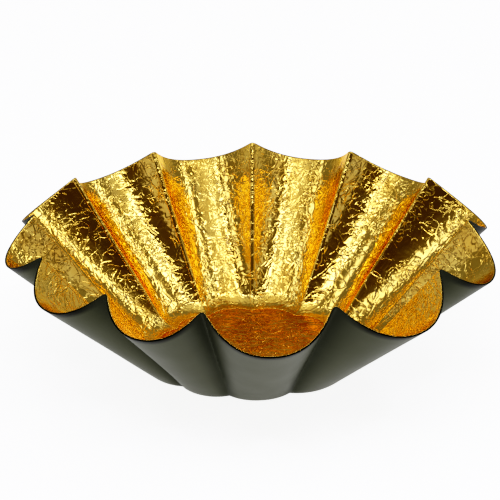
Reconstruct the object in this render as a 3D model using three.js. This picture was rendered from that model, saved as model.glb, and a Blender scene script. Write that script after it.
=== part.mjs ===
import * as THREE from 'three';

// A wide bowl pressed from one sheet of steel, with twelve uneven flutes, painted
// outside and lined inside with leaves of imitation gold.
// Millimetres, +Z up. The origin is the middle of the flat underside.
// The back ridge lies near +Y, and the front of the bowl faces -Y.

// ---------------------------------------------------------------- driving dimensions

const RIM_LOBE_RADIUS = 150;      // axis to the rim at the middle of an average flute
const RIM_LOBE_HEIGHT = 72;       // underside to the rim at the middle of an average flute
const RIM_RIDGE_RADIUS = 133.5;   // axis to the rim where two flutes meet
const RIM_RIDGE_HEIGHT = 88.5;    // underside to the rim where two flutes meet
const FOOT_LOBE_RADIUS = 68.5;    // where the wall of a flute would meet the table
const FOOT_RIDGE_RADIUS = 65.5;   // where a ridge would meet the table
const FOOT_BEND_RADIUS = 16;      // outer radius of the bend between floor and wall

const SHEET_THICKNESS = 0.9;
const LEAF_THICKNESS = 0.25;
const LEAF_CLEARANCE = 0.3;       // between the sheet and the leaf laid on it
const FLOOR_LEAF_MARGIN = 0.4;    // between the floor leaf and the flute leaves
const RIM_MARGIN = 0.6;           // bare sheet left above the leaves at the cut edge

// Angle taken by each flute, counter-clockwise from the back ridge. A wider flute is
// deeper in proportion.
const FLUTE_ANGLES = [29.5, 29, 28, 28.5, 28.5, 26, 32, 34.5, 33, 32, 29.5, 29.5];
const MEAN_FLUTE_ANGLE = 30;
const BACK_RIDGE_ANGLE = 89;

const LOBE_ROUNDNESS = 2.2;       // power of the curve from ridge to ridge
const RIDGE_SOFTNESS = 0.03;      // rounded part of a ridge, as a share of half a flute
const RIDGE_JOINT = 0.02;         // gap beside a leaf at the ridge, the same share

// Shares of half a flute, from the ridge to the middle, where facets change.
const HALF_FLUTE_STEPS = [0, 0.04, 0.1, 0.2, 0.36, 0.56, 0.78, 1];
const BEND_STEPS = 4;
const WALL_STEPS = 3;

// ------------------------------------------------------------------ shape of the skin

const DEGREE = Math.PI / 180;

function listFlutes() {
  const flutes = [];
  let start = BACK_RIDGE_ANGLE;
  for (const angle of FLUTE_ANGLES) {
    flutes.push({
      start: start * DEGREE,
      width: angle * DEGREE,
      depth: angle / MEAN_FLUTE_ANGLE,
    });
    start += angle;
  }
  return flutes;
}

// 0 on a ridge and 1 in the middle of a flute; across runs from -1 to 1 between ridges.
function fluteSwell(across) {
  const soften = (share) => Math.hypot(share, RIDGE_SOFTNESS) - RIDGE_SOFTNESS;
  const fromRidge = soften(1 - Math.abs(across)) / soften(1);
  return 1 - (1 - fromRidge) ** LOBE_ROUNDNESS;
}

// A point of the outer skin. along is 0 to 1 over the floor, 1 to 2 round the bend and
// 2 to 3 up the straight wall.
function outerSkin(flute, across, along) {
  const swell = fluteSwell(across) * flute.depth;
  const blend = (ridge, lobe) => ridge + (lobe - ridge) * swell;
  const footRadius = blend(FOOT_RIDGE_RADIUS, FOOT_LOBE_RADIUS);
  const rimRadius = blend(RIM_RIDGE_RADIUS, RIM_LOBE_RADIUS);
  const rimHeight = blend(RIM_RIDGE_HEIGHT, RIM_LOBE_HEIGHT);

  const slope = Math.atan2(rimHeight, rimRadius - footRadius);
  const turned = slope * THREE.MathUtils.clamp(along - 1, 0, 1);
  const climbed = Math.max(along - 2, 0);
  const bendStart = footRadius - FOOT_BEND_RADIUS * Math.tan(slope / 2);

  let radius = bendStart * Math.min(along, 1) + FOOT_BEND_RADIUS * Math.sin(turned);
  let height = FOOT_BEND_RADIUS * (1 - Math.cos(turned));
  radius += (rimRadius - radius) * climbed;
  height += (rimHeight - height) * climbed;

  const angle = flute.start + flute.width * (across + 1) / 2;
  return new THREE.Vector3(radius * Math.cos(angle), radius * Math.sin(angle), height);
}

// The same point moved into the bowl, square to the skin, by depth.
function insideSkin(flute, across, along, depth) {
  const point = outerSkin(flute, across, along);
  if (along <= 1) {
    return point.setZ(depth);
  }
  const nudge = 1e-4;
  const sideways = outerSkin(flute, across + nudge, along)
    .sub(outerSkin(flute, across - nudge, along));
  const upwards = outerSkin(flute, across, along + nudge)
    .sub(outerSkin(flute, across, along - nudge));
  const inward = upwards.cross(sideways).normalize();
  return point.addScaledVector(inward, depth);
}

// ------------------------------------------------------------------ closed thin solids

// across values from one ridge to the next, starting edge short of each ridge. The last
// one is left out where the next flute starts with it.
function acrossSteps(edge, withLast) {
  const half = HALF_FLUTE_STEPS.map((share) => Math.max(share, edge));
  const rising = half.map((share) => share - 1);
  const falling = half.slice(0, -1).reverse().map((share) => 1 - share);
  const steps = rising.concat(falling);
  return withLast ? steps : steps.slice(0, -1);
}

function alongSteps(end) {
  const steps = [];
  for (let step = 0; step <= BEND_STEPS; step += 1) {
    steps.push(1 + step / BEND_STEPS);
  }
  for (let step = 1; step <= WALL_STEPS; step += 1) {
    steps.push(2 + (end - 2) * step / WALL_STEPS);
  }
  return steps;
}

// Closes a grid of points, given for the two sides of a sheet, into one thin solid.
// corner(row, column, side) is a point: rows go outwards, columns counter-clockwise,
// side 0 is the lower face and side 1 the upper. A disc has all of row 0 at its centre
// and its last column next to its first.
function thinSolid(rows, columns, isDisc, corner) {
  const corners = [];
  const triangle = (a, b, c) => {
    if (!a.equals(b) && !b.equals(c) && !c.equals(a)) {
      corners.push(a, b, c);
    }
  };
  const quad = (a, b, c, d) => {
    triangle(a, b, c);
    triangle(a, c, d);
  };
  const next = (column) => (isDisc ? (column + 1) % columns : column + 1);
  const lastColumn = isDisc ? columns : columns - 1;
  const lastRow = rows - 1;

  for (let column = 0; column < lastColumn; column += 1) {
    const beside = next(column);
    for (let row = 0; row < lastRow; row += 1) {
      quad(corner(row, column, 1), corner(row + 1, column, 1),
        corner(row + 1, beside, 1), corner(row, beside, 1));
      quad(corner(row + 1, beside, 0), corner(row + 1, column, 0),
        corner(row, column, 0), corner(row, beside, 0));
    }
    quad(corner(lastRow, column, 1), corner(lastRow, column, 0),
      corner(lastRow, beside, 0), corner(lastRow, beside, 1));
    if (!isDisc) {
      quad(corner(0, beside, 1), corner(0, beside, 0),
        corner(0, column, 0), corner(0, column, 1));
    }
  }
  for (let row = 0; row < lastRow && !isDisc; row += 1) {
    quad(corner(row, lastColumn, 0), corner(row, lastColumn, 1),
      corner(row + 1, lastColumn, 1), corner(row + 1, lastColumn, 0));
    quad(corner(row + 1, 0, 0), corner(row + 1, 0, 1),
      corner(row, 0, 1), corner(row, 0, 0));
  }
  const geometry = new THREE.BufferGeometry().setFromPoints(corners);
  geometry.computeVertexNormals();
  return geometry;
}

// -------------------------------------------------------------------------- sub-parts

const flutes = listFlutes();
const sharedSteps = acrossSteps(0, false);
const discColumns = flutes.length * sharedSteps.length;

// A point over the whole bowl, by column counted right round it.
function pointAround(column, along, depth) {
  const flute = flutes[Math.floor(column / sharedSteps.length)];
  return insideSkin(flute, sharedSteps[column % sharedSteps.length], along, depth);
}

// The pressed blank: a flat floor, a round bend and the fluted wall, up to a cut edge.
function shellGeometry() {
  const steps = [0].concat(alongSteps(3));
  const faces = [0, SHEET_THICKNESS];
  return thinSolid(steps.length, discColumns, true, (row, column, side) => (
    pointAround(column, steps[row], faces[side])
  ));
}

const leafFaces = [
  SHEET_THICKNESS + LEAF_CLEARANCE,
  SHEET_THICKNESS + LEAF_CLEARANCE + LEAF_THICKNESS,
];

// The round leaf on the floor, kept short of the bend.
function floorLeafGeometry() {
  return thinSolid(2, discColumns, true, (row, column, side) => {
    const edge = pointAround(column, 1, leafFaces[side]);
    const reach = row * (1 - FLOOR_LEAF_MARGIN / Math.hypot(edge.x, edge.y));
    return edge.multiply(new THREE.Vector3(reach, reach, 1));
  });
}

// The leaf that lines one flute, from the bend to just under the cut edge.
function fluteLeafGeometry(flute) {
  const wallLength = Math.hypot(
    RIM_RIDGE_RADIUS - FOOT_RIDGE_RADIUS,
    RIM_RIDGE_HEIGHT,
  );
  const across = acrossSteps(RIDGE_JOINT, true);
  const along = alongSteps(3 - RIM_MARGIN / wallLength);
  return thinSolid(along.length, across.length, false, (row, column, side) => (
    insideSkin(flute, across[column], along[row], leafFaces[side])
  ));
}

// --------------------------------------------------------------------------- assembly

const bowl = new THREE.Group();

function addMesh(name, geometry, finish) {
  const mesh = new THREE.Mesh(geometry, new THREE.MeshStandardMaterial(finish));
  mesh.name = name;
  bowl.add(mesh);
}

const darkPaint = { color: 0x4b4c42, roughness: 0.55, metalness: 0.25 };
const goldLeaf = { color: 0xd9a92e, roughness: 0.25, metalness: 1 };

addMesh('pressed_bowl_shell', shellGeometry(), darkPaint);
addMesh('gold_leaf_floor', floorLeafGeometry(), goldLeaf);
flutes.forEach((flute, index) => {
  const number = String(index + 1).padStart(2, '0');
  addMesh(`gold_leaf_flute_${number}`, fluteLeafGeometry(flute), goldLeaf);
});

export default bowl;
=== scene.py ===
import math

import bpy
import numpy as np
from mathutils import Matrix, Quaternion, Vector
from mathutils.geometry import delaunay_2d_cdt


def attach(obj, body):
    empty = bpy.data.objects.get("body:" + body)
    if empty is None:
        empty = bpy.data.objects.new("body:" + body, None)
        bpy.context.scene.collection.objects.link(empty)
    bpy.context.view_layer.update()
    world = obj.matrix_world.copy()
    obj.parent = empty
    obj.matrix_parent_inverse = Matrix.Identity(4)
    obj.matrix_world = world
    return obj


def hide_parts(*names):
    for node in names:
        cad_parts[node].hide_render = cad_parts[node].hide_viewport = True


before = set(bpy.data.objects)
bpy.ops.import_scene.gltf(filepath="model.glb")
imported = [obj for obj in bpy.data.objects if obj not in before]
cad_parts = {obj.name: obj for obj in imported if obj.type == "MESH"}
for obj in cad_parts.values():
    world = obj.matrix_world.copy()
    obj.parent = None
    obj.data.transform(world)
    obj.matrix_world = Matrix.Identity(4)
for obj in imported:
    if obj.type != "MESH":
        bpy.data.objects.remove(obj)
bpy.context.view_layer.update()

# A bowl pressed from one painted steel sheet, with twelve uneven flutes, lined inside
# with crinkled imitation gold leaf. Metres, +Z up, front of the bowl towards -Y.

MM = 0.001

# ---------------------------------------------------------------- driving dimensions
# These repeat the pressed shell's own, so that the fine surface lies on the CAD one.

RIM_LOBE_RADIUS = 150 * MM
RIM_LOBE_HEIGHT = 72 * MM
RIM_RIDGE_RADIUS = 133.5 * MM
RIM_RIDGE_HEIGHT = 88.5 * MM
FOOT_LOBE_RADIUS = 68.5 * MM
FOOT_RIDGE_RADIUS = 65.5 * MM
FOOT_BEND_RADIUS = 16 * MM
SHEET = 0.9 * MM

FLUTE_ANGLES = [29.5, 29, 28, 28.5, 28.5, 26, 32, 34.5, 33, 32, 29.5, 29.5]
MEAN_FLUTE_ANGLE = 30
BACK_RIDGE_ANGLE = 89
LOBE_ROUNDNESS = 2.2
RIDGE_SOFTNESS = 0.03

FLUTES = len(FLUTE_ANGLES)
FLUTE_WIDTH = np.radians(FLUTE_ANGLES)
FLUTE_DEPTH = np.array(FLUTE_ANGLES) / MEAN_FLUTE_ANGLE
FLUTE_ENDS = np.concatenate([[0], np.cumsum(FLUTE_WIDTH)])
FLUTE_START = math.radians(BACK_RIDGE_ANGLE) + FLUTE_ENDS[:-1]
WALL_LENGTH = math.hypot(RIM_RIDGE_RADIUS - FOOT_RIDGE_RADIUS, RIM_RIDGE_HEIGHT)

# Unevenness of the pressed wall: the size and height of its waves, their seeds, and
# where along the shell they begin and reach their full height.
DENTS = [(46 * MM, 0.22 * MM, 11), (19 * MM, 0.02 * MM, 12)]
DENTS_BEGIN = (1.2, 2.2)

# ---------------------------------------------------------------------------- noise


def smooth_step(value, low, high, from_value=0, to_value=1):
    """from_value where value is up to low, eased to to_value where it is high or more."""
    share = np.clip((value - low) / (high - low), 0, 1)
    return from_value + (to_value - from_value) * share * share * (3 - 2 * share)


def gradient_noise(x, y, seed):
    """Smooth noise, about -1 to 1, with one bump per unit."""
    draw = np.random.RandomState(seed)
    shuffle = draw.permutation(256)
    angle = draw.uniform(0, 2 * math.pi, 256)
    cell_x, cell_y = np.floor(x).astype(int), np.floor(y).astype(int)
    in_x, in_y = x - cell_x, y - cell_y

    def corner(step_x, step_y):
        key = shuffle[(shuffle[(cell_x + step_x) & 255] + cell_y + step_y) & 255]
        return np.cos(angle[key]) * (in_x - step_x) + np.sin(angle[key]) * (in_y - step_y)

    ease_x = in_x**3 * (in_x * (in_x * 6 - 15) + 10)
    ease_y = in_y**3 * (in_y * (in_y * 6 - 15) + 10)
    near = corner(0, 0) * (1 - ease_x) + corner(1, 0) * ease_x
    far = corner(0, 1) * (1 - ease_x) + corner(1, 1) * ease_x
    return 1.5 * (near * (1 - ease_y) + far * ease_y)


def cell_borders(x, y, seed):
    """Distance to the border between the two nearest random points, one per unit cell,
    and the height there of a plane through the nearest point, tilted at random."""
    draw = np.random.RandomState(seed)
    shuffle = draw.permutation(256)
    point_x, point_y = draw.uniform(0, 1, 256), draw.uniform(0, 1, 256)
    tilt_x, tilt_y = draw.uniform(-1, 1, 256), draw.uniform(-1, 1, 256)
    cell_x, cell_y = np.floor(x).astype(int), np.floor(y).astype(int)
    best = [np.full(x.shape, 1e9) for _ in range(2)]
    spot = [[np.zeros(x.shape), np.zeros(x.shape)] for _ in range(2)]
    tilt = np.zeros(x.shape)
    for step_x in (-1, 0, 1):
        for step_y in (-1, 0, 1):
            key = shuffle[(shuffle[(cell_x + step_x) & 255] + cell_y + step_y) & 255]
            at_x = cell_x + step_x + point_x[key]
            at_y = cell_y + step_y + point_y[key]
            away = (x - at_x) ** 2 + (y - at_y) ** 2
            first = away < best[0]
            second = (away < best[1]) & ~first
            for axis, at in enumerate((at_x, at_y)):
                spot[1][axis] = np.where(
                    first, spot[0][axis], np.where(second, at, spot[1][axis])
                )
                spot[0][axis] = np.where(first, at, spot[0][axis])
            best[1] = np.where(first, best[0], np.where(second, away, best[1]))
            best[0] = np.where(first, away, best[0])
            slope = (x - at_x) * tilt_x[key] + (y - at_y) * tilt_y[key]
            tilt = np.where(first, slope, tilt)
    gap = np.hypot(spot[1][0] - spot[0][0], spot[1][1] - spot[0][1])
    return (best[1] - best[0]) / (2 * gap + 1e-9), tilt


# ------------------------------------------------------------------- shape of the bowl
# turn counts flutes counter-clockwise from the back ridge, and is whole on a ridge.
# along is 0 to 1 over the floor, 1 to 2 round the foot bend and 2 to 3 up the wall.


def flute_swell(across):
    """0 on the ridges, where across is -1 or 1, and 1 in the middle of a flute."""
    def soften(share):
        return np.hypot(share, RIDGE_SOFTNESS) - RIDGE_SOFTNESS

    from_ridge = soften(1 - np.abs(across)) / soften(1)
    return 1 - (1 - from_ridge) ** LOBE_ROUNDNESS


def outer_skin(turn, along):
    """A point of the shell's outer surface."""
    flute = np.floor(turn).astype(int) % FLUTES
    across = 2 * (turn - np.floor(turn)) - 1
    swell = flute_swell(across) * FLUTE_DEPTH[flute]
    foot = FOOT_RIDGE_RADIUS + (FOOT_LOBE_RADIUS - FOOT_RIDGE_RADIUS) * swell
    rim = RIM_RIDGE_RADIUS + (RIM_LOBE_RADIUS - RIM_RIDGE_RADIUS) * swell
    top = RIM_RIDGE_HEIGHT + (RIM_LOBE_HEIGHT - RIM_RIDGE_HEIGHT) * swell

    slope = np.arctan2(top, rim - foot)
    turned = slope * np.clip(along - 1, 0, 1)
    climbed = np.maximum(along - 2, 0)
    bend_start = foot - FOOT_BEND_RADIUS * np.tan(slope / 2)
    radius = bend_start * np.minimum(along, 1) + FOOT_BEND_RADIUS * np.sin(turned)
    height = FOOT_BEND_RADIUS * (1 - np.cos(turned))
    radius = radius + (rim - radius) * climbed
    height = height + (top - height) * climbed

    angle = FLUTE_START[flute] + FLUTE_WIDTH[flute] * (across + 1) / 2
    return np.stack([radius * np.cos(angle), radius * np.sin(angle), height], -1)


def inward_normal(turn, along):
    nudge = 1e-4
    safe = np.maximum(along, 1 + nudge)
    sideways = outer_skin(turn + nudge, safe) - outer_skin(turn - nudge, safe)
    upwards = outer_skin(turn, safe + nudge) - outer_skin(turn, safe - nudge)
    normal = np.cross(upwards, sideways)
    normal /= np.linalg.norm(normal, axis=-1, keepdims=True)
    on_floor = (along <= 1 + nudge)[..., None]
    return np.where(on_floor, np.array([0.0, 0.0, 1.0]), normal)


def dent(point, along):
    """Unevenness of the pressed wall, nothing on the floor."""
    height = sum(
        high * gradient_noise(point[..., 0] / size, point[..., 1] / size, seed)
        for size, high, seed in DENTS
    )
    return height * smooth_step(along, *DENTS_BEGIN)


def bowl_point(turn, along, depth):
    """A point depth inside the outer skin of the pressed bowl."""
    turn, along, depth = np.broadcast_arrays(turn, along, depth)
    point = outer_skin(turn, along)
    inside = depth + dent(point, along)
    return point + inward_normal(turn, along) * inside[..., None]


# --------------------------------------------------------------------------- meshes


def add_mesh(name, points, faces, material):
    mesh = bpy.data.meshes.new(name)
    mesh.from_pydata(points.tolist(), [], faces)
    mesh.validate()
    mesh.shade_smooth()
    mesh.materials.append(material)
    obj = bpy.data.objects.new(name, mesh)
    bpy.context.scene.collection.objects.link(obj)
    return obj


def grid_faces(rows, columns, wraps):
    """Four-sided faces of a grid, numbered row by row, seen from inside the bowl."""
    number = np.arange(rows * columns).reshape(rows, columns)
    if wraps:
        number = np.concatenate([number, number[:, :1]], 1)
    faces = [number[:-1, :-1], number[1:, :-1], number[1:, 1:], number[:-1, 1:]]
    return np.stack(faces, -1).reshape(-1, 4).tolist()


# ---------------------------------------------------------------------- pressed shell

SHELL_STEPS_PER_FLUTE = 40
RIDGE_CROWDING = 1.5
FLOOR_ROWS = np.linspace(0.12, 0.96, 8)
BEND_ROWS = np.linspace(1, 2, 11)
WALL_ROWS = np.linspace(2, 2.975, 32)[1:]
RIM_ROUNDING = 0.28 * MM
RIM_ROUNDING_DEGREES = (0, 30, 60, 90)

# Where the near-black line of painted shade below the cut rim begins to fade and ends, and the
# painted shade that darkens each crease, as shares of half a flute.
RIM_LINE = (3.0 * MM, 5.0 * MM)
CREASE_SHADE = (0.02, 0.42)


def shell_profile():
    """(along, depth) from the middle of the underside, over the cut rim, to the middle
    of the floor."""
    outside = np.concatenate([FLOOR_ROWS, BEND_ROWS, WALL_ROWS])
    rim = []
    for degrees in RIM_ROUNDING_DEGREES:
        turned = math.radians(degrees)
        below_rim = RIM_ROUNDING / WALL_LENGTH * (1 - math.sin(turned))
        rim.append((3 - below_rim, RIM_ROUNDING * (1 - math.cos(turned))))
    outer = [(along, 0.0) for along in outside] + rim
    inner = [(along, SHEET - depth) for along, depth in reversed(outer)]
    return np.array(outer + inner)


def shell_turns():
    """Places round the bowl, closest together over the ridges."""
    share = 2 * np.arange(SHELL_STEPS_PER_FLUTE) / SHELL_STEPS_PER_FLUTE - 1
    across = np.sign(share) * (1 - (1 - np.abs(share)) ** RIDGE_CROWDING)
    return (np.arange(FLUTES)[:, None] + (across + 1) / 2).reshape(-1)


def make_shell(material):
    turns = shell_turns()
    profile = shell_profile()
    rows, columns = len(profile), len(turns)
    ring = bowl_point(turns[None, :], profile[:, :1], profile[:, 1:])
    middles = np.array([[0, 0, 0], [0, 0, SHEET]])
    points = np.concatenate([ring.reshape(-1, 3), middles])
    faces = [face[::-1] for face in grid_faces(rows, columns, True)]
    under, upper = rows * columns, rows * columns + 1
    last = (rows - 1) * columns
    for column in range(columns):
        beside = (column + 1) % columns
        faces.append([under, beside, column])
        faces.append([upper, last + column, last + beside])
    return add_mesh("pressed_shell", points, faces, material)


def store_on_points(obj, name, values):
    layer = obj.data.attributes.new(name, "FLOAT", "POINT")
    layer.data.foreach_set("value", values.astype(np.float32))


def mark_shell(shell):
    """Stores, for the paint, how deep in a crease between two flutes each point of the shell
    lies, where the paint is darkened with painted shade and made more matt, and how near it is
    to the cut rim, where it is painted near-black as painted shade."""
    turns = shell_turns()
    profile = shell_profile()
    middles = [0, 0]

    # Painted shade: the paint is darkened towards each crease, where less light reaches.
    from_crease = np.abs(turns - np.round(turns)) * 2
    deep = 1 - smooth_step(from_crease, *CREASE_SHADE)
    deep = np.concatenate([np.tile(deep, len(profile)), middles])
    store_on_points(shell, "crease_shade_and_matt", deep)

    # Painted shade: the paint is near-black just below the cut rim, where the edge shows dark.
    below_rim = (3 - profile[:, 0]) * WALL_LENGTH
    near = 1 - smooth_step(below_rim, *RIM_LINE)
    near = np.concatenate([np.repeat(near, len(turns)), middles])
    store_on_points(shell, "rim_edge", near)


# ------------------------------------------------------------------------- gold leaf

LEAF_ROWS = 300
LEAF_COLUMNS = 220
FLOOR_STEPS = 280

# The hidden side of a leaf keeps every ninth row and column, and more near its sides,
# where it bends over a ridge.
UNDERSIDE_STRIDE = 9
RIDGE_COLUMNS = 18

# Depths inside the outer skin. A flute's leaf steps up where it laps over the next.
LEAF_BOTTOM = SHEET + 0.04 * MM
LAPPED_LEAF_TOP = SHEET + 0.10 * MM
FLUTE_LEAF_TOP = SHEET + 0.26 * MM
FLOOR_LEAF_TOP = SHEET + 0.30 * MM
LAP_STEP = 0.10 * MM
LAP_BEGIN = 0.97

# Edges of a flute's leaf in turn and along, and how far they wander.
NEAR_SIDE, NEAR_SIDE_WANDER = -0.006, 0.004
FAR_SIDE, FAR_SIDE_WANDER = 1.020, 0.006
FOOT_EDGE, FOOT_EDGE_WANDER = 0.965, 0.008
RIM_EDGE, RIM_EDGE_WANDER = 2.996, 0.002
FLOOR_EDGE = 0.985

# How crinkled each flute's leaf is, counter-clockwise from the back ridge, and the floor
# leaf: 0 is glassy. The floor leaf's crinkles are also drawn out sideways, and higher.
DENSE_LEAVES = [0.5, 0.25, 0.55, 0.6, 0.5, 0.45, 0.6, 0.5, 0.6, 0.7, 0.3, 0.9]
FLOOR_DENSE = 0.75
FLOOR_GRAIN = 1.9
FLOOR_CRINKLE = 3.0
FIRST_FLUTE_SEED = 100
FLUTE_SEED_STEP = 20
FLOOR_SEED = 40

# Facets and folds, in mm: how far facet borders wander and over what distance, the size
# and slope of tilted facets and where they round over, and the buckles under them.
WANDER_WIDE, WANDER_WIDE_SIZE = 1.5, 4.3
WANDER_NARROW, WANDER_NARROW_SIZE = 0.4, 1.7
LARGE_FACET, LARGE_FACET_SLOPE, LARGE_FACET_ROUNDING = 6.0, 0.022, (0.1, 1.6)
SMALL_FACET, SMALL_FACET_SLOPE, SMALL_FACET_ROUNDING = 2.2, 0.012, (0.05, 0.7)
LARGE_PATCH, SMALL_PATCH = 17, 7
BUCKLE_WIDTH, BUCKLE_LENGTH, BUCKLE_HEIGHT = 9, 14, 0.06
LOWEST_CRINKLE = -0.14

# Share of its crinkles that the leaf keeps at its edges, where it lies flatter, and at
# the gathered foot, and the reach in mm over which that ends. The floor leaf's reaches
# are shares of its radius.
SIDE_CALM, SIDE_CALM_REACH = 0.15, (1.8, 4.0)
FOOT_CALM, FOOT_CALM_REACH = 0.4, (0.5, 4.0)
FOOT_GATHER, FOOT_GATHER_REACH = 2.2, (9.0, 24.0)
FLOOR_CALM, FLOOR_CALM_REACH = 0.1, (0.03, 0.10)
FLOOR_CROWN_REACH = (0.025, 0.06)

# Number of creases in the glassiest leaf, and how many more in the most crinkled one.
FEWEST_CREASES = 70
MORE_CREASES = 220
FLOOR_CREASES = 650
SIDEWAYS_SHARE = 0.45
FLOOR_SIDEWAYS_SHARE = 0.8
FLOOR_CREASE_GAIN = 1.3

# Creases, in mm and radians.
CREASE_PIXEL = 0.2
CREASE_STEP = 1.0
CREASE_HALF_WIDTH = 0.42
CREASE_HEIGHT = 0.21
CREASE_LENGTHS = (5, 20)
CREASE_PATCH = 16
CREASE_WANDER = 0.24
SIDEWAYS_SPREAD = 0.45
RAISED_SHARE = 0.65
SUNKEN_STRENGTH = -0.6
BRANCH_CHANCE = 0.10
BRANCH_TURN = (0.5, 1.3)
BRANCH_LENGTH = 0.6
BRANCH_STRENGTH = 0.8


def press_crease(heights, start, end, half_width, peak):
    """One short straight piece of a crease, added to a grid of heights, all in mm."""
    reach = 2.2 * half_width
    low = np.maximum((np.minimum(start, end) - reach) / CREASE_PIXEL, 0).astype(int)
    high = np.maximum((np.maximum(start, end) + reach) / CREASE_PIXEL + 2, 0).astype(int)
    window = heights[low[1]:high[1], low[0]:high[0]]
    if window.size == 0:
        return
    x = (low[0] + np.arange(window.shape[1])) * CREASE_PIXEL - start[0]
    y = (low[1] + np.arange(window.shape[0]))[:, None] * CREASE_PIXEL - start[1]
    run = end - start
    share = np.clip((x * run[0] + y * run[1]) / (run @ run), 0, 1)
    away = (x - share * run[0]) ** 2 + (y - share * run[1]) ** 2
    ridge = peak * np.exp(-away / half_width**2)
    keep = np.maximum if peak > 0 else np.minimum
    keep(window, ridge, out=window)


def crease_map(width, length, seed, count, sideways):
    """Heights in mm of thin branching creases, gathered in patches. sideways is the share
    of creases that run mostly across the leaf."""
    draw = np.random.RandomState(seed)
    heights = np.zeros((int(length / CREASE_PIXEL) + 2, int(width / CREASE_PIXEL) + 2))
    places = draw.uniform(0, 1, (4 * count, 2)) * (width, length)
    patch = gradient_noise(places[:, 0] / CREASE_PATCH, places[:, 1] / CREASE_PATCH, seed)
    liked = smooth_step(patch, -0.45, 0.35) > draw.uniform(0.05, 0.9, len(places))
    waiting = []
    for place in places[liked][:count]:
        heading = draw.uniform(0, 2 * math.pi)
        if draw.uniform() < sideways:
            heading = draw.normal(0, SIDEWAYS_SPREAD) + math.pi * draw.randint(2)
        up = 1 if draw.uniform() < RAISED_SHARE else SUNKEN_STRENGTH
        whole = draw.uniform(*CREASE_LENGTHS)
        waiting.append((place, heading, whole, up * draw.uniform(0.35, 1)))
    while waiting:
        place, heading, whole, strength = waiting.pop()
        length_left = whole
        while length_left > 0:
            heading += draw.normal(0, CREASE_WANDER)
            ahead = place + CREASE_STEP * np.array([math.cos(heading), math.sin(heading)])
            fade = min(1, length_left / 3, (whole - length_left + 1) / 2)
            half_width = CREASE_HALF_WIDTH * draw.uniform(0.75, 1.1)
            press_crease(heights, place, ahead, half_width, strength * fade * CREASE_HEIGHT)
            place = ahead
            length_left -= CREASE_STEP
            if draw.uniform() < BRANCH_CHANCE:
                turn = draw.uniform(*BRANCH_TURN) * (1 if draw.uniform() < 0.5 else -1)
                reach = BRANCH_LENGTH * whole * draw.uniform(0.4, 1)
                waiting.append((place, heading + turn, reach, BRANCH_STRENGTH * strength))
    return heights


def read_map(heights, x, y):
    """Values of a CREASE_PIXEL grid of heights at x, y in mm."""
    column = np.clip(x / CREASE_PIXEL, 0, heights.shape[1] - 1.001)
    row = np.clip(y / CREASE_PIXEL, 0, heights.shape[0] - 1.001)
    c, r = column.astype(int), row.astype(int)
    column, row = column - c, row - r
    near = heights[r, c] * (1 - column) + heights[r, c + 1] * column
    far = heights[r + 1, c] * (1 - column) + heights[r + 1, c + 1] * column
    return near * (1 - row) + far * row


def wandering(x, y, seed):
    """How far, in mm, the borders of facets wander from straight lines."""
    wide = gradient_noise(x / WANDER_WIDE_SIZE, y / WANDER_WIDE_SIZE, seed)
    narrow = gradient_noise(x / WANDER_NARROW_SIZE, y / WANDER_NARROW_SIZE, seed + 1)
    return WANDER_WIDE * wide + WANDER_NARROW * narrow


def facets(x, y, size, rounding, seed):
    """Heights of tilted flat facets of about that size, rounded over at their borders."""
    border, tilt = cell_borders(x / size, y / size, seed)
    return tilt * size * smooth_step(border * size, *rounding)


def crinkle(x, y, seed, dense, grain):
    """Height in mm of the facets and small folds that leaf takes when it is pressed on a
    curved sheet, at x, y in mm. dense is 0 for glassy leaf and 1 for leaf crinkled all
    over; grain draws them out along x."""
    x = x / grain
    facet_x = x + wandering(x, y, seed)
    facet_y = y + wandering(x, y, seed + 2)
    patch = gradient_noise(x / LARGE_PATCH, y / LARGE_PATCH, seed + 4)
    patch = patch + 0.5 * gradient_noise(x / SMALL_PATCH, y / SMALL_PATCH, seed + 5)
    crowded = smooth_step(patch + 1.6 * (dense - 0.5), -0.25, 0.45)
    buckle = gradient_noise(x / BUCKLE_WIDTH, y / BUCKLE_LENGTH, seed + 6)
    large = facets(facet_x, facet_y, LARGE_FACET, LARGE_FACET_ROUNDING, seed + 7)
    small = facets(facet_x, facet_y, SMALL_FACET, SMALL_FACET_ROUNDING, seed + 9)
    return (
        BUCKLE_HEIGHT * buckle
        + LARGE_FACET_SLOPE * large
        + SMALL_FACET_SLOPE * crowded * small
    )


def add_leaf(name, top, under, material):
    """One closed leaf between two grids of points, with few points on its hidden side
    except where it bends over a ridge."""
    rows, columns = top.shape[:2]
    row, column = np.mgrid[0:rows, 0:columns]
    border = (row == 0) | (row == rows - 1) | (column == 0) | (column == columns - 1)
    over_ridge = (column < RIDGE_COLUMNS) | (column >= columns - RIDGE_COLUMNS)
    inner = (row % UNDERSIDE_STRIDE == 0) & ((column % UNDERSIDE_STRIDE == 0) | over_ridge)
    keep = np.argwhere(border | inner)
    flat = [Vector((float(column), float(row))) for row, column in keep]
    _, _, triangles, origins, _, _ = delaunay_2d_cdt(flat, [], [], 0, 1e-6)
    first_under = rows * columns
    under_faces = [[first_under + origins[i][0] for i in face] for face in triangles]

    under_number = np.full((rows, columns), -1)
    under_number[keep[:, 0], keep[:, 1]] = first_under + np.arange(len(keep))
    loop = (
        [(0, c) for c in range(columns - 1)]
        + [(r, columns - 1) for r in range(rows - 1)]
        + [(rows - 1, c) for c in range(columns - 1, 0, -1)]
        + [(r, 0) for r in range(rows - 1, 0, -1)]
    )
    sides = []
    for here, there in zip(loop, loop[1:] + loop[:1]):
        sides.append([
            here[0] * columns + here[1], there[0] * columns + there[1],
            int(under_number[there]), int(under_number[here]),
        ])
    points = np.concatenate([top.reshape(-1, 3), under[keep[:, 0], keep[:, 1]]])
    faces = grid_faces(rows, columns, False) + sides + under_faces
    return add_mesh(name, points, faces, material)


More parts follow.
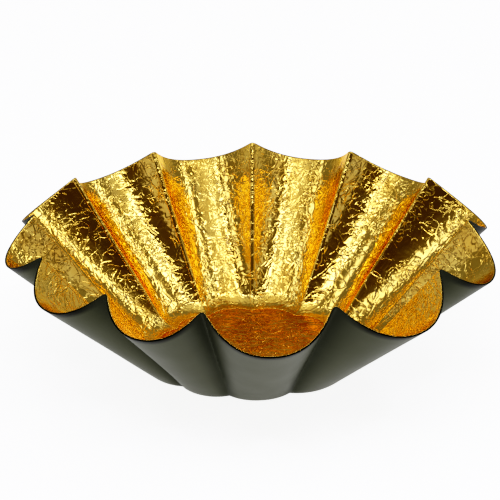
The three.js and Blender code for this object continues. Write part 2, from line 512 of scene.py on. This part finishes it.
def path_lengths(points, axis):
    """Distance in mm along one axis of a grid of points."""
    steps = np.linalg.norm(np.diff(points, axis=axis), axis=-1) / MM
    lead = np.zeros_like(np.take(steps, [0], axis=axis))
    return np.concatenate([lead, np.cumsum(steps, axis=axis)], axis=axis)


def flute_leaf_grid(index):
    """turn and along of every point of a flute's leaf, which has ragged edges and reaches
    over the ridge at its far side."""
    row = np.linspace(0, 1, LEAF_ROWS)[:, None]
    column = np.linspace(0, 1, LEAF_COLUMNS)[None, :]
    near_ragged = gradient_noise(row * 9, row * 0 + index, 5)
    far_ragged = gradient_noise(row * 11, row * 0 + index, 6)
    foot_ragged = gradient_noise(column * 14 + index * 9, column * 0, 7)
    rim_ragged = gradient_noise(column * 19 + index * 9, column * 0, 8)
    near_edge = index + NEAR_SIDE - NEAR_SIDE_WANDER * near_ragged
    far_edge = index + FAR_SIDE + FAR_SIDE_WANDER * far_ragged
    foot_edge = FOOT_EDGE + FOOT_EDGE_WANDER * foot_ragged
    rim_edge = RIM_EDGE - RIM_EDGE_WANDER * rim_ragged
    turn = near_edge + (far_edge - near_edge) * column
    along = foot_edge + (rim_edge - foot_edge) * row
    return turn, along


def flute_leaf_height(turn, along, index):
    """Height of the crinkles of a flute's leaf, gathered at the foot bend and pressed
    down along its edges."""
    seed = FIRST_FLUTE_SEED + FLUTE_SEED_STEP * index
    dense = DENSE_LEAVES[index]
    smooth = bowl_point(turn, along, SHEET)
    across_mm = path_lengths(smooth, 1)
    across_mm = across_mm - across_mm[:, -1:] / 2
    along_mm = path_lengths(smooth, 0)[:, LEAF_COLUMNS // 2][:, None] + 0 * across_mm
    half = np.abs(across_mm[:, -1:])
    from_side = half - np.abs(across_mm)
    calm = smooth_step(from_side, *SIDE_CALM_REACH, SIDE_CALM, 1)
    calm = calm * smooth_step(along_mm, *FOOT_CALM_REACH, FOOT_CALM, 1)
    gathered = smooth_step(along_mm, *FOOT_GATHER_REACH, FOOT_GATHER, 1)

    widest = 2 * half.max()
    count = int(FEWEST_CREASES + MORE_CREASES * dense)
    creases = crease_map(widest, along_mm.max(), seed, count, SIDEWAYS_SHARE)
    height = crinkle(across_mm, along_mm, seed, dense, 1.0)
    height = height + read_map(creases, across_mm + widest / 2, along_mm)
    return np.maximum(height * calm * gathered, LOWEST_CRINKLE) * MM


def make_flute_leaf(index, material):
    turn, along = flute_leaf_grid(index)
    height = flute_leaf_height(turn, along, index)
    lapping = smooth_step(turn, index + LAP_BEGIN, index + 1.0, 0, LAP_STEP)
    top = bowl_point(turn, along, FLUTE_LEAF_TOP + height + lapping)
    under = bowl_point(turn, along, LEAF_BOTTOM)
    return add_leaf("gold_leaf_flute_%02d_crinkled" % (index + 1), top, under, material)


def floor_leaf_grid():
    """x and y of every point of the floor leaf, and how near it is to the edge, 0 to 1:
    a square grid drawn in to a disc, and the disc drawn out to the foot bend."""
    side = np.linspace(-1, 1, FLOOR_STEPS)
    flat_x, flat_y = np.meshgrid(-side, side)
    disc_x = flat_x * np.sqrt(1 - flat_y**2 / 2)
    disc_y = flat_y * np.sqrt(1 - flat_x**2 / 2)
    turned = np.mod(np.arctan2(disc_y, disc_x) - FLUTE_START[0], 2 * math.pi)
    turn = np.interp(turned, FLUTE_ENDS, np.arange(FLUTES + 1))
    edge = outer_skin(turn, np.full(turn.shape, FLOOR_EDGE))
    radius = np.hypot(edge[..., 0], edge[..., 1])
    return disc_x * radius, disc_y * radius, np.hypot(disc_x, disc_y), radius.max()


def make_floor_leaf(material):
    x, y, reach, widest = floor_leaf_grid()
    size = 2 * widest / MM
    calm = smooth_step(1 - reach, *FLOOR_CALM_REACH, FLOOR_CALM, 1)
    creases = crease_map(size, size, FLOOR_SEED, FLOOR_CREASES, FLOOR_SIDEWAYS_SHARE)
    creases = FLOOR_CREASE_GAIN * creases
    height = FLOOR_CRINKLE * crinkle(x / MM, y / MM, FLOOR_SEED, FLOOR_DENSE, FLOOR_GRAIN)
    height = height + read_map(creases, x / MM + size / 2, y / MM + size / 2)
    height = np.maximum(height * calm, 1.5 * LOWEST_CRINKLE * calm) * MM
    crown = smooth_step(1 - reach, *FLOOR_CROWN_REACH, LAPPED_LEAF_TOP, FLOOR_LEAF_TOP)
    top = np.stack([x, y, crown + height], -1)
    under = np.stack([x, y, np.full(x.shape, LEAF_BOTTOM)], -1)
    return add_leaf("gold_leaf_floor_crinkled", top, under, material)


# ---------------------------------------------------------------------- shader nodes


def feed(tree, made, inputs):
    """Gives each named or numbered input of a node a value, or the socket it reads."""
    for name, value in inputs.items():
        if isinstance(value, bpy.types.NodeSocket):
            tree.links.new(value, made.inputs[name])
        else:
            made.inputs[name].default_value = value
    return made


def node(tree, kind, inputs, **settings):
    made = tree.nodes.new(kind)
    for name, value in settings.items():
        setattr(made, name, value)
    return feed(tree, made, inputs)


def noise(tree, where, scale, detail=2.0, roughness=0.5):
    return node(tree, "ShaderNodeTexNoise", {
        "Vector": where, "Scale": scale, "Detail": detail, "Roughness": roughness,
    }).outputs["Fac"]


def ramp(tree, value, stops):
    made = node(tree, "ShaderNodeValToRGB", {"Fac": value})
    points = made.color_ramp.elements
    while len(points) < len(stops):
        points.new(0.5)
    for point, (place, colour) in zip(points, stops):
        point.position = place
        point.color = (*colour, 1)
    return made.outputs["Color"]


def spread(tree, value, low, high, to_low, to_high):
    return node(tree, "ShaderNodeMapRange", {
        "Value": value, "From Min": low, "From Max": high, "To Min": to_low, "To Max": to_high,
    }).outputs["Result"]


def combine(tree, operation, first, second=0.0):
    """A Math node on two values, each a socket or a number."""
    made = node(tree, "ShaderNodeMath", {0: first, 1: second}, operation=operation)
    return made.outputs["Value"]


def mix_colours(tree, share, first, second):
    made = node(tree, "ShaderNodeMix", {
        "Factor": share, "A": first, "B": second,
    }, data_type="RGBA")
    return made.outputs["Result"]


def stored(tree, name):
    return node(tree, "ShaderNodeAttribute", {}, attribute_name=name).outputs["Fac"]


def bump(tree, height, strength, distance):
    return node(tree, "ShaderNodeBump", {
        "Height": height, "Strength": strength, "Distance": distance,
    }).outputs["Normal"]


def new_material(name):
    """A material's tree and shader, and the object's own coordinates in it."""
    material = bpy.data.materials.new(name)
    material.use_nodes = True
    tree = material.node_tree
    where = node(tree, "ShaderNodeTexCoord", {}).outputs["Object"]
    return material, tree, tree.nodes["Principled BSDF"], where


# ------------------------------------------------------------------------- materials

# Colours of the leaf where its slow mottle is low, middling and high.
WALL_TINTS = [
    (0.30, (0.90, 0.52, 0.08)),
    (0.50, (0.93, 0.59, 0.11)),
    (0.72, (0.95, 0.66, 0.15)),
]
# The floor leaf is tinted deeper orange as painted reflection: the colour of gold seen in the
# gold walls.
FLOOR_REFLECTION_TINTS = [
    (0.30, (0.82, 0.31, 0.04)),
    (0.50, (0.88, 0.38, 0.05)),
    (0.72, (0.92, 0.48, 0.08)),
]

# Each set of hair-fine creases: noise scale, half width as a noise level, and the turn in
# degrees of the direction they mostly run in.
HAIR_CREASES = [
    (120, 0.034, (90, 0, 90)), (125, 0.019, (90, 0, 0)), (135, 0.036, (0, 0, 0)),
    (110, 0.017, (55, 0, 45)), (130, 0.035, (55, 0, 135)),
    (115, 0.018, (55, 0, -135)), (140, 0.021, (55, 0, -45)),
]
HAIR_STRETCH = 3.5
WALL_HAIR_HEIGHT = 0.085 * MM
FLOOR_HAIR_HEIGHT = 0.20 * MM

# Hairs show where a patch noise, coarser than their own, passes these levels. A slow
# crowding noise is added to it, and more towards the rim.
HAIR_PATCH_COARSENESS = 0.45
HAIR_PATCH_LEVELS = (0.80, 0.84)
CROWDING = 0.6
CROWDED_HEIGHTS = (45 * MM, 72 * MM)
CROWDED_RIM = 0.26

# Sizes of noise, in bumps a metre.
HAIR_CROWDING_SCALE = 38
LEAF_TINT_SCALE = 70
LEAF_CLOUD_SCALE = 190
PAINT_TINT_SCALE = 24
PAINT_CLOUD_SCALE = 60
PAINT_PEEL_SCALE = 260

# Roughness where its cloudy noise is low and high, and what a crease adds.
LEAF_ROUGHNESS = (0.06, 0.17)
PAINT_ROUGHNESS = (0.39, 0.43)
CREASE_ROUGHNESS = 0.12
CLOUD_LEVELS = (0.3, 0.7)

PAINT_TINTS = [(0.35, (0.051, 0.053, 0.032)), (0.65, (0.057, 0.059, 0.037))]
# Near-black painted shade along the cut rim.
RIM_SHADE_COLOUR = (0.003, 0.003, 0.002, 1)
# Painted shade in the creases between the flutes.
CREASE_SHADE_COLOUR = (0.032, 0.034, 0.023, 1)
PEEL_HEIGHT = 0.08 * MM

# The floor glows though it is no lamp: a painted pool of light, white near the bowl and fading
# towards the wall.
FLOOR_GLOW = 1.05
FLOOR_WHITE = 0.60
FLOOR_FADE = 0.35
FLOOR_FADE_REACH = (0.8, 2.0)
WHITE = (1, 1, 1, 1)


def hair_creases(tree, where):
    """Height, 0 to 1, of sets of hair-fine creases that cross each other in patches."""
    height = node(tree, "ShaderNodeSeparateXYZ", {"Vector": where}).outputs["Z"]
    near_rim = spread(tree, height, *CROWDED_HEIGHTS, 0.0, CROWDED_RIM)
    crowd = noise(tree, where, HAIR_CROWDING_SCALE, 1.0)
    crowd = combine(tree, "MULTIPLY", combine(tree, "ADD", crowd, near_rim), CROWDING)
    hairs = 0.0
    for number, (scale, half_width, turn) in enumerate(HAIR_CREASES):
        turned = node(tree, "ShaderNodeMapping", {
            "Vector": where,
            "Location": (0.31 * number, 0.17 * number, 0),
            "Rotation": [math.radians(angle) for angle in turn],
            "Scale": (1, 1, HAIR_STRETCH),
        }, vector_type="TEXTURE").outputs["Vector"]
        level = combine(tree, "SUBTRACT", noise(tree, turned, scale, 1.0, 0.4), 0.5)
        line = spread(tree, combine(tree, "ABSOLUTE", level), 0.0, half_width, 1.0, 0.0)
        patch = noise(tree, turned, HAIR_PATCH_COARSENESS * scale, 1.0)
        patch = combine(tree, "ADD", patch, crowd)
        patch = spread(tree, patch, *HAIR_PATCH_LEVELS, 0.0, 1.0)
        hairs = combine(tree, "MAXIMUM", hairs, combine(tree, "MULTIPLY", line, patch))
    return hairs


def gold_leaf_material(name, tints, hair_height):
    material, tree, shader, where = new_material(name)
    mottle = noise(tree, where, LEAF_TINT_SCALE, 3.0, 0.6)
    cloud = noise(tree, where, LEAF_CLOUD_SCALE, 4.0, 0.6)
    feed(tree, shader, {
        "Base Color": ramp(tree, mottle, tints),
        "Roughness": spread(tree, cloud, *CLOUD_LEVELS, *LEAF_ROUGHNESS),
        "Normal": bump(tree, hair_creases(tree, where), 1.0, hair_height),
        "Metallic": 1.0,
        "Specular Tint": (0.95, 0.70, 0.35, 1),
        "Coat Weight": 0.2,
        "Coat Roughness": 0.06,
    })
    return material


def dark_paint_material():
    """Satin-matt paint, more matt in the creases between the flutes and darkened there with
    painted shade, with a near-black line of painted shade along the cut rim."""
    material, tree, shader, where = new_material("dark_olive_paint")
    # The crease mask darkens the paint with painted shade, and makes it more matt.
    crease = stored(tree, "crease_shade_and_matt")
    colour = ramp(tree, noise(tree, where, PAINT_TINT_SCALE), PAINT_TINTS)
    # A near-black line of painted shade along the cut rim.
    colour = mix_colours(tree, stored(tree, "rim_edge"), colour, RIM_SHADE_COLOUR)
    cloud = noise(tree, where, PAINT_CLOUD_SCALE)
    roughness = spread(tree, cloud, *CLOUD_LEVELS, *PAINT_ROUGHNESS)
    matt = combine(tree, "MULTIPLY", crease, CREASE_ROUGHNESS)
    peel = noise(tree, where, PAINT_PEEL_SCALE)
    feed(tree, shader, {
        "Base Color": mix_colours(tree, crease, colour, CREASE_SHADE_COLOUR),
        "Roughness": combine(tree, "ADD", roughness, matt),
        "Normal": bump(tree, peel, 0.10, PEEL_HEIGHT),
        "Specular IOR Level": 0.08,
        "Specular Tint": (0.94, 1.0, 0.62, 1),
    })
    return material


def glowing_floor_material():
    """Glows white round the bowl, a painted pool of light that also lights the bowl from
    below, and fades to a pale grey towards the wall.
    """
    material, tree, shader, where = new_material("glowing_floor")
    away = node(tree, "ShaderNodeVectorMath", {0: where}, operation="LENGTH")
    fade = spread(tree, away.outputs["Value"], *FLOOR_FADE_REACH, 1.0, FLOOR_FADE)
    feed(tree, shader, {
        "Base Color": combine(tree, "MULTIPLY", fade, FLOOR_WHITE),
        "Emission Color": WHITE,
        "Emission Strength": combine(tree, "MULTIPLY", fade, FLOOR_GLOW),
        "Roughness": 0.9,
        "Specular IOR Level": 0.1,
    })
    return material


# -------------------------------------------------------------------------- the bowl

paint = dark_paint_material()
wall_gold = gold_leaf_material("crinkled_gold_leaf", WALL_TINTS, WALL_HAIR_HEIGHT)
# The floor leaf's deeper orange is painted reflection of the gold walls.
floor_gold = gold_leaf_material("floor_gold_leaf_painted_reflection", FLOOR_REFLECTION_TINTS, FLOOR_HAIR_HEIGHT)

shell = make_shell(paint)
mark_shell(shell)
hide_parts("pressed_bowl_shell")
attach(shell, "root")

floor_leaf = make_floor_leaf(floor_gold)
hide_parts("gold_leaf_floor")
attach(floor_leaf, "root")

for index in range(FLUTES):
    leaf = make_flute_leaf(index, wall_gold)
    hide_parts("gold_leaf_flute_%02d" % (index + 1))
    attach(leaf, "root")

# ---------------------------------------------------------------------------- studio

# Each softbox as the bowl sees it: azimuth (0 is the front, 90 the right) and elevation
# in degrees, long level side and short side in metres, and radiance.
SOFTBOXES = {
    "front_low_left": (-46, 62, 1.15, 0.26, 6.0),
    "front_low_middle": (4, 62, 1.15, 0.26, 6.0),
    "front_low_right": (54, 62, 1.15, 0.26, 6.0),
    "front_high": (-5, 74, 0.78, 0.28, 3.8),
    "right_side": (110, 44, 1.5, 0.42, 3.6),
    "left_side": (-88, 47, 1.95, 0.40, 2.4),
    "right_middle": (78, 38, 1.0, 0.6, 0.55),
    "left_low": (-66, 24, 2.4, 0.55, 0.55),
    "right_low": (60, 24, 1.9, 0.55, 0.50),
}
SOFTBOX_DISTANCE = 3.0
DAYLIGHT = (0.94, 0.98, 1.16)

# Light of the room from front to back and overhead.
ROOM_WALLS = [
    (0.10, (0.062, 0.047, 0.044)),
    (0.30, (0.120, 0.100, 0.085)),
    (0.50, (0.20, 0.20, 0.20)),
    (0.75, (0.20, 0.20, 0.20)),
    (0.95, (0.34, 0.34, 0.34)),
]
ROOM_CEILING = [
    (0.85, (0.0, 0.0, 0.0)),
    (0.97, (0.60, 0.60, 0.60)),
]

BACKDROP_REACH = 2.6
BACKDROP_BEND = 0.7
BACKDROP_LIP = 0.1
BACKDROP_COLUMNS = 96


def add_backdrop(material):
    """A round pale floor that curves up into a low wall all round."""
    profile = [(BACKDROP_REACH / 2, 0.0)]
    for degrees in range(0, 91, 9):
        turned = math.radians(degrees)
        profile.append((
            BACKDROP_REACH + BACKDROP_BEND * math.sin(turned),
            BACKDROP_BEND * (1 - math.cos(turned)),
        ))
    profile.append((BACKDROP_REACH + BACKDROP_BEND, BACKDROP_BEND + BACKDROP_LIP))
    angle = np.arange(BACKDROP_COLUMNS) * 2 * math.pi / BACKDROP_COLUMNS
    points = [
        (radius * math.cos(a), radius * math.sin(a), height)
        for radius, height in profile for a in angle
    ]
    points.append((0, 0, 0))
    faces = grid_faces(len(profile), BACKDROP_COLUMNS, True)
    for column in range(BACKDROP_COLUMNS):
        faces.append([len(points) - 1, column, (column + 1) % BACKDROP_COLUMNS])
    backdrop = add_mesh("backdrop", np.array(points), faces, material)


def make_room():
    """A dim room: dark behind the camera, paler to the back and overhead."""
    world = bpy.data.worlds.new("studio")
    world.use_nodes = True
    tree = world.node_tree
    direction = node(tree, "ShaderNodeTexCoord", {}).outputs["Generated"]
    split = node(tree, "ShaderNodeSeparateXYZ", {"Vector": direction})
    to_back = spread(tree, split.outputs["Y"], -1.0, 1.0, 0.0, 1.0)
    both = node(tree, "ShaderNodeVectorMath", {
        0: ramp(tree, to_back, ROOM_WALLS),
        1: ramp(tree, split.outputs["Z"], ROOM_CEILING),
    }, operation="ADD")
    feed(tree, tree.nodes["Background"], {"Color": both.outputs["Vector"]})
    bpy.context.scene.world = world


def add_softbox(name, azimuth, elevation, long_side, short_side, radiance):
    """A soft rectangular lamp, aimed at the bowl."""
    a, e = math.radians(azimuth), math.radians(elevation)
    towards = Vector((math.sin(a) * math.cos(e), -math.cos(a) * math.cos(e), math.sin(e)))
    lamp = bpy.data.lights.new(name, "AREA")
    lamp.shape = "RECTANGLE"
    lamp.size = long_side
    lamp.size_y = short_side
    lamp.energy = radiance * math.pi * long_side * short_side
    lamp.color = DAYLIGHT
    panel = bpy.data.objects.new(name, lamp)
    panel.location = SOFTBOX_DISTANCE * towards
    panel.rotation_mode = "QUATERNION"
    panel.rotation_quaternion = (-towards).to_track_quat("-Z", "Y")
    bpy.context.scene.collection.objects.link(panel)


add_backdrop(glowing_floor_material())
make_room()
for name, values in SOFTBOXES.items():
    add_softbox(name, *values)

# ---------------------------------------------------------------------------- camera

CAMERA_DISTANCE = 1.2
CAMERA_ELEVATION = math.radians(26.75)
CAMERA_PITCH = math.radians(23.75)
CAMERA_ROLL = math.radians(-0.5)
CAMERA_LENS = 137.7
SENSOR_WIDTH = 36

# Light in the scene and the light that the picture shows for it. The curve is flat above
# BRIGHTEST.
BRIGHTEST = 2.0
CAMERA_RESPONSE = [
    (0.010, 0.001), (0.030, 0.010), (0.060, 0.036), (0.100, 0.078), (0.160, 0.145),
    (0.5, 0.52), (1.0, 0.88), (1.4, 0.985),
]
COMBINED_CURVE = 3


def add_camera():
    camera = bpy.data.objects.new("camera", bpy.data.cameras.new("camera"))
    camera.data.lens = CAMERA_LENS
    camera.data.sensor_width = SENSOR_WIDTH
    camera.data.clip_start = 0.01
    camera.location = (
        0,
        -CAMERA_DISTANCE * math.cos(CAMERA_ELEVATION),
        CAMERA_DISTANCE * math.sin(CAMERA_ELEVATION),
    )
    camera.rotation_mode = "QUATERNION"
    camera.rotation_quaternion = (
        Quaternion((1, 0, 0), math.radians(90) - CAMERA_PITCH)
        @ Quaternion((0, 0, 1), CAMERA_ROLL)
    )
    bpy.context.scene.collection.objects.link(camera)
    bpy.context.scene.camera = camera


def set_camera_response():
    """Deeper shadows, and highlights that grow pale gently."""
    view = bpy.context.scene.view_settings
    view.view_transform = "Standard"
    view.use_curve_mapping = True
    mapping = view.curve_mapping
    mapping.extend = "HORIZONTAL"
    mapping.white_level = (BRIGHTEST, BRIGHTEST, BRIGHTEST)
    curve = mapping.curves[COMBINED_CURVE]
    for scene_light, picture_light in CAMERA_RESPONSE:
        curve.points.new(scene_light / BRIGHTEST, picture_light)
    mapping.update()


add_camera()
set_camera_response()
